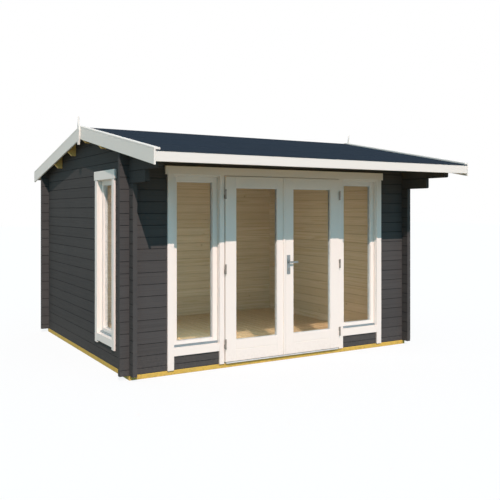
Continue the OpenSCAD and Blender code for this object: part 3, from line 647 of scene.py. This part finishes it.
def make_screw_row():
    """Countersunk screws along lines, one at each step, with their heads turned to the open side."""
    tree, given = new_group("screw_row", "GeometryNodeTree", {
        "Geometry": "Geometry", "Spacing": "Float", "Head Radius": "Float", "Head Height": "Float",
        "Facing": "Vector", "Finish": "Material"}, {"Geometry": "Geometry"})
    lines = wire(tree, "GeometryNodeMeshToCurve", {"Mesh": given["Geometry"]})
    places = wire(tree, "GeometryNodeResampleCurve", {
        "Curve": lines.outputs[0], "Length": given["Spacing"]}, mode="LENGTH")
    head = wire(tree, "GeometryNodeMeshCone", {
        "Vertices": 14, "Radius Top": calc(tree, "MULTIPLY", given["Head Radius"], HEAD_TAPER),
        "Radius Bottom": given["Head Radius"], "Depth": given["Head Height"]})
    turned = wire(tree, "FunctionNodeAlignRotationToVector", {"Vector": given["Facing"]}, axis="Z")
    driven = wire(tree, "GeometryNodeInstanceOnPoints", {
        "Points": places.outputs[0], "Instance": head.outputs[0], "Rotation": turned.outputs[0]})
    solid = wire(tree, "GeometryNodeRealizeInstances", {"Geometry": driven.outputs[0]})
    finished = wire(tree, "GeometryNodeSetMaterial", {
        "Geometry": solid.outputs[0], "Material": given["Finish"]})
    wire(tree, "NodeGroupOutput", {"Geometry": finished.outputs[0]})
    return tree


screw_row = make_screw_row()


def screws(name, lines, facing, body, spacing, finish, slot):
    """Screws along straight lines, each given by its two ends."""
    mesh = bpy.data.meshes.new(name)
    points = [point for line in lines for point in line]
    mesh.from_pydata(points, [(i, i + 1) for i in range(0, len(points), 2)], [])
    return grown(name, screw_row, body, slot, mesh, **{
        "Spacing": spacing, "Head Radius": HEAD_RADIUS, "Head Height": HEAD_HEIGHT, "Facing": facing,
        "Finish": finish})


SCREW_INSET = 0.12
BARGE_ROWS = (0.25, 0.75)
BARGE_STEP = 0.55
FASCIA_STEP = 0.6
barge_low, barge_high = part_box("bargeboards")
fascia_low, fascia_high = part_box("fascia_boards")
barge_tip = eaves_top("bargeboards", barge_high.y)
barge_fall = (barge_high.z - barge_tip) / barge_high.y
barge_depth = barge_tip - barge_low.z
for side, x in (("left", barge_low.x), ("right", barge_high.x)):
    lines = []
    for end in (barge_low.y, barge_high.y):
        stops = (math.copysign(SCREW_INSET, end), end - math.copysign(SCREW_INSET / 2, end))
        for share in BARGE_ROWS:
            lines.append([(x, y, barge_high.z - barge_fall * abs(y) - share * barge_depth) for y in stops])
    screws(side + "_barge_screws", lines, (math.copysign(1, x), 0, 0), "cabin", BARGE_STEP,
           weathered_cream, "cream_joinery")
fascia_middle = (fascia_low.z + fascia_high.z) / 2
for side, y in (("front", fascia_low.y), ("rear", fascia_high.y)):
    line = [(x, y, fascia_middle) for x in (fascia_low.x + SCREW_INSET, fascia_high.x - SCREW_INSET)]
    screws(side + "_fascia_screws", [line], (0, math.copysign(1, y), 0), "cabin", FASCIA_STEP,
           weathered_cream, "cream_joinery")

# Door frame: jambs, head and planted stops of painted softwood, slid over the log ends, with a folded
# aluminium threshold that the leaves close over.
cream_paint = paint_finish(
    "cream_paint", (0.885, 0.825, 0.760, 1), (0.865, 0.800, 0.735, 1), (0.80, 0.755, 0.70, 1))
for node in ("door_jambs", "door_head", "door_stops"):
    dressed(node, cream_paint, ease=0.002)


def make_metal_marks():
    """Fine lines left by drawing or brushing a metal, and the dull blotches of use."""
    group, given = new_group(
        "metal_marks", "ShaderNodeTree", {"Line Scale": "Vector", "Blotch Scale": "Float"},
        {"Lines": "Float", "Blotches": "Float"})
    place = surface_place(group)
    drawn = wire(group, "ShaderNodeMapping", {"Vector": place, "Scale": given["Line Scale"]})
    lines = wire(group, "ShaderNodeTexNoise", {"Vector": drawn.outputs[0], "Scale": 1.0, "Detail": 3.0})
    blotches = wire(group, "ShaderNodeTexNoise", {
        "Vector": place, "Scale": given["Blotch Scale"], "Detail": 5.0})
    wire(group, "NodeGroupOutput", {
        "Lines": lines.outputs["Fac"], "Blotches": span(group, blotches.outputs["Fac"], 0.35, 0.70)})
    return group


metal_marks = make_metal_marks()


def metal_finish(name, line_scale, blotch_scale, bright, dull, metallic, polish, tarnish):
    """Bare metal between a bright and a dull tone, polished where bright and rough where dull."""
    finish, tree = start_finish(name)
    marks = wire(tree, "ShaderNodeGroup", {
        "Line Scale": line_scale, "Blotch Scale": blotch_scale}, node_tree=metal_marks).outputs
    worn = marks["Blotches"]
    end_finish(tree, marks["Lines"], 0.0002, {
        "Base Color": mix(tree, worn, bright, dull), "Metallic": metallic,
        "Roughness": span(tree, worn, 0.0, 1.0, polish, tarnish)})
    return finish


worn_sheet = metal_finish(
    "worn_sheet", (10, 600, 600), 26.0, (0.74, 0.77, 0.76, 1), (0.60, 0.62, 0.61, 1),
    metallic=0.4, polish=0.45, tarnish=0.62)
dressed("door_threshold", worn_sheet, ease=0.002)

# Windows: fixed sashes of painted softwood in deep frames, with an aluminium weather bar at the foot.
# The panes are clear float glass, each held all round in a slim aluminium channel.
for node in ("window_jambs", "window_heads", "window_sills", "sash_stiles", "sash_rails"):
    dressed(node, cream_paint, ease=0.002)
mill_aluminium = metal_finish(
    "mill_aluminium", (12, 700, 700), 9.0, (0.305, 0.385, 0.42, 1), (0.26, 0.335, 0.37, 1),
    metallic=1.0, polish=0.36, tarnish=0.52)
dressed("weather_bars", mill_aluminium, ease=0.0015)

clear_glass, tree = start_finish("clear_glass")
wipes = wire(tree, "ShaderNodeTexNoise", {"Vector": surface_place(tree), "Scale": 7.0, "Detail": 5.0})
wiped = span(tree, wipes.outputs["Fac"], 0.45, 0.8)
pane = wire(tree, "ShaderNodeBsdfPrincipled", {
    "Base Color": mix(tree, wiped, (0.95, 0.98, 0.97, 1), (0.92, 0.95, 0.94, 1)),
    "Transmission Weight": 1.0, "IOR": 1.12, "Roughness": 0.0})
lamp_path = wire(tree, "ShaderNodeBsdfTransparent", {"Color": (0.94, 0.97, 0.96, 1)})
shadow_ray = wire(tree, "ShaderNodeLightPath").outputs["Is Shadow Ray"]
glass_mix = wire(tree, "ShaderNodeMixShader", {0: shadow_ray, 1: pane.outputs[0], 2: lamp_path.outputs[0]})
wire(tree, "ShaderNodeOutputMaterial", {"Surface": glass_mix.outputs[0]})
for node in ("window_glass", "left_door_glass", "right_door_glass"):
    materials = frame["nodes"][node].data.materials
    materials.clear()
    materials.append(clear_glass)

# Section of each leg of a channel: in from the edge of the pane, and out from the glass
OUTER_LEG = ((0.0, 0.0), (0.003, 0.0), (0.003, 0.013), (0.0, 0.014))
ROOM_LEG = ((0.0, 0.0), (0.004, 0.0), (0.004, 0.0085), (0.0, 0.0095))


def mitred_frame(bm, section, low, high, thin, face, out):
    """A mitred frame round a pane that is thin along one axis, standing out from one face of the glass."""
    wide = 1 - thin
    corners = []
    for side, inward, end, upward in (
            (low, 1, low, 1), (high, -1, low, 1), (high, -1, high, -1), (low, 1, high, -1)):
        corner = []
        for width, depth in section:
            spot = [0.0, 0.0, end[2] + upward * width]
            spot[wide] = side[wide] + inward * width
            spot[thin] = face + out * depth
            corner.append(bm.verts.new(spot))
        corners.append(corner)
    count = len(section)
    for near, far in zip(corners, corners[1:] + corners[:1]):
        for k in range(count):
            bm.faces.new((near[k], near[(k + 1) % count], far[(k + 1) % count], far[k]))


def glazing_channels(name, node, body):
    """A metal channel round every pane in a node, with a leg on the outside and one on the room side."""
    panes = welded(node)
    bm = bmesh.new()
    for low, high in [box_of(part) for part in loose_parts(panes)]:
        thin = 1 if high[1] - low[1] < high[0] - low[0] else 0
        mitred_frame(bm, OUTER_LEG, low, high, thin, low[thin], -1)
        mitred_frame(bm, ROOM_LEG, low, high, thin, high[thin], 1)
    panes.free()
    bmesh.ops.recalc_face_normals(bm, faces=bm.faces)
    return add_piece(name, bm, worn_sheet, body)


glazing_channels("window_channels", "window_glass", "cabin")

# Trim boards: cream painted casings, headers and sill boards that cover the gaps between the frames and
# the logs. Eased edges, screwed to the frames.
for node in ("casings", "header_boards", "sill_boards"):
    dressed(node, cream_paint, ease=0.0025)

CASING_MIDDLES = (-1.334, -0.768, 0.768, 1.334)
CASING_SCREWS_FOOT = 0.10
CASING_SCREWS_TOP = 1.92
HEADER_SCREWS_REACH = 1.33
HEADER_SCREWS_Z = 2.009
WINDOW_MIDDLES = (-1.048, 1.048)
SILL_SCREWS_REACH = 0.21
SILL_SCREWS_Z = 0.222
SIDE_CASING_MIDDLES = (-0.804, -0.272)
SIDE_SCREWS_FOOT = 0.27
SIDE_SCREWS_TOP = 1.86
SIDE_HEADER_SPAN = (-0.80, -0.276)
SIDE_HEADER_SCREWS_Z = 1.978
TRIM_STEP = 0.45
casing_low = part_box("casings")[0]
header_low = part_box("header_boards")[0]
front_lines = []
for x in CASING_MIDDLES:
    front_lines.append([(x, casing_low.y, z) for z in (CASING_SCREWS_FOOT, CASING_SCREWS_TOP)])
front_lines.append([(x, header_low.y, HEADER_SCREWS_Z) for x in (-HEADER_SCREWS_REACH, HEADER_SCREWS_REACH)])
for middle in WINDOW_MIDDLES:
    ends = (middle - SILL_SCREWS_REACH, middle + SILL_SCREWS_REACH)
    front_lines.append([(x, casing_low.y, SILL_SCREWS_Z) for x in ends])
screws("front_trim_screws", front_lines, (0, -1, 0), "cabin", TRIM_STEP, cream_paint, "cream_joinery")
side_lines = []
for y in SIDE_CASING_MIDDLES:
    side_lines.append([(casing_low.x, y, z) for z in (SIDE_SCREWS_FOOT, SIDE_SCREWS_TOP)])
side_lines.append([(header_low.x, y, SIDE_HEADER_SCREWS_Z) for y in SIDE_HEADER_SPAN])
screws("side_trim_screws", side_lines, (-1, 0, 0), "cabin", TRIM_STEP, cream_paint, "cream_joinery")

# Doors: two glazed leaves of painted softwood, stiles tenoned to a top rail and a deep grooved bottom
# rail, hung outwards. A cover strip on the left leaf hides the meeting edge.
for side in ("left", "right"):
    for part in ("stiles", "rails"):
        dressed(side + "_door_" + part, cream_paint, ease=0.0025)
    glazing_channels(side + "_door_channels", side + "_door_glass", side + "_door")
dressed("meeting_cover", cream_paint, ease=0.004, steps=3)

# Hinges: turned steel barrels in two halves, lift-off on a pin, three to a leaf. The lower half is fixed
# to the frame and the upper half to the leaf.
zinc_plate = metal_finish(
    "zinc_plate", (260, 260, 1500), 60.0, (0.32, 0.31, 0.28, 1), (0.25, 0.24, 0.21, 1),
    metallic=1.0, polish=0.38, tarnish=0.55)
SHARP_ANGLE = math.radians(32)


def smooth_round(piece):
    """Shades the round faces of a piece smooth and keeps its edges sharp."""
    piece.data.shade_smooth()
    piece.data.set_sharp_from_angle(angle=SHARP_ANGLE)


for node in ("frame_hinges", "left_door_hinges", "right_door_hinges"):
    smooth_round(dressed(node, zinc_plate, ease=0.0012))

# Handle: satin steel plates on both faces of the right leaf, a sprung lever on each side of one spindle,
# and a lock cylinder below it. Each plate is held by two screws.
brushed_steel = metal_finish(
    "brushed_steel", (1800, 1800, 90), 30.0, (0.30, 0.345, 0.35, 1), (0.24, 0.28, 0.285, 1),
    metallic=1.0, polish=0.30, tarnish=0.44)
dressed("handle_plates", brushed_steel, ease=0.0018, steps=3)
smooth_round(dressed("lever_spindle", brushed_steel, ease=0.0012, steps=4))
smooth_round(dressed("lever_grips", brushed_steel, ease=0.0042, steps=4))

plate_low, plate_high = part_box("handle_plates")
spindle_low, spindle_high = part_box("lever_spindle")
axis_x = (spindle_low.x + spindle_high.x) / 2
axis_z = (spindle_low.z + spindle_high.z) / 2
LOCK_DROP = 0.072
CASE_RADIUS = 0.0085
CASE_HEIGHT = 0.0025
TAIL_HALF = 0.005
TAIL_FOOT = -0.022
PLUG_RADIUS = 0.0058
PLUG_HEIGHT = 0.0009
KEY_SLOT = 0.0014
PLATE_SCREW_INSET = 0.012
PLATE_SCREW_STEP = 0.181


def stand_out(bm, outline, face, start, height):
    """A flat form that stands out from a face, from its outline round the lock's axis."""
    near, far = ([bm.verts.new((axis_x + x, face + rise, axis_z - LOCK_DROP + z)) for x, z in outline]
                 for rise in (start, start + height))
    bm.faces.new(near)
    bm.faces.new(far)
    for i in range(len(outline)):
        bm.faces.new((near[i], near[i - 1], far[i - 1], far[i]))


def arc(radius, first, last, steps):
    """Points along an arc, from the first angle to the last."""
    turns = [math.radians(first + (last - first) * k / steps) for k in range(steps + 1)]
    return [(radius * math.cos(turn), radius * math.sin(turn)) for turn in turns]


lock_tail = [(-TAIL_HALF, TAIL_FOOT), (TAIL_HALF, TAIL_FOOT)]
lock_case = arc(CASE_RADIUS, first=-54, last=234, steps=28) + lock_tail
plug_half = arc(PLUG_RADIUS, first=-90, last=90, steps=14)
bm = bmesh.new()
for face, out in ((plate_low.y, -1), (plate_high.y, 1)):
    stand_out(bm, lock_case, face, 0, out * CASE_HEIGHT)
    for side in (-1, 1):
        half = [(side * (x + KEY_SLOT / 2), z) for x, z in plug_half]
        stand_out(bm, half, face, out * CASE_HEIGHT, out * PLUG_HEIGHT)
bmesh.ops.recalc_face_normals(bm, faces=bm.faces)
add_piece("lock_cylinders", bm, zinc_plate, "right_door")
for side, face, out in (("outer", plate_low.y, -1), ("inner", plate_high.y, 1)):
    heights = (plate_low.z + PLATE_SCREW_INSET, plate_high.z - PLATE_SCREW_INSET)
    line = [(axis_x, face, z) for z in heights]
    screws(side + "_plate_screws", [line], (0, out, 0), "right_door", PLATE_SCREW_STEP, brushed_steel,
           "satin_steel")
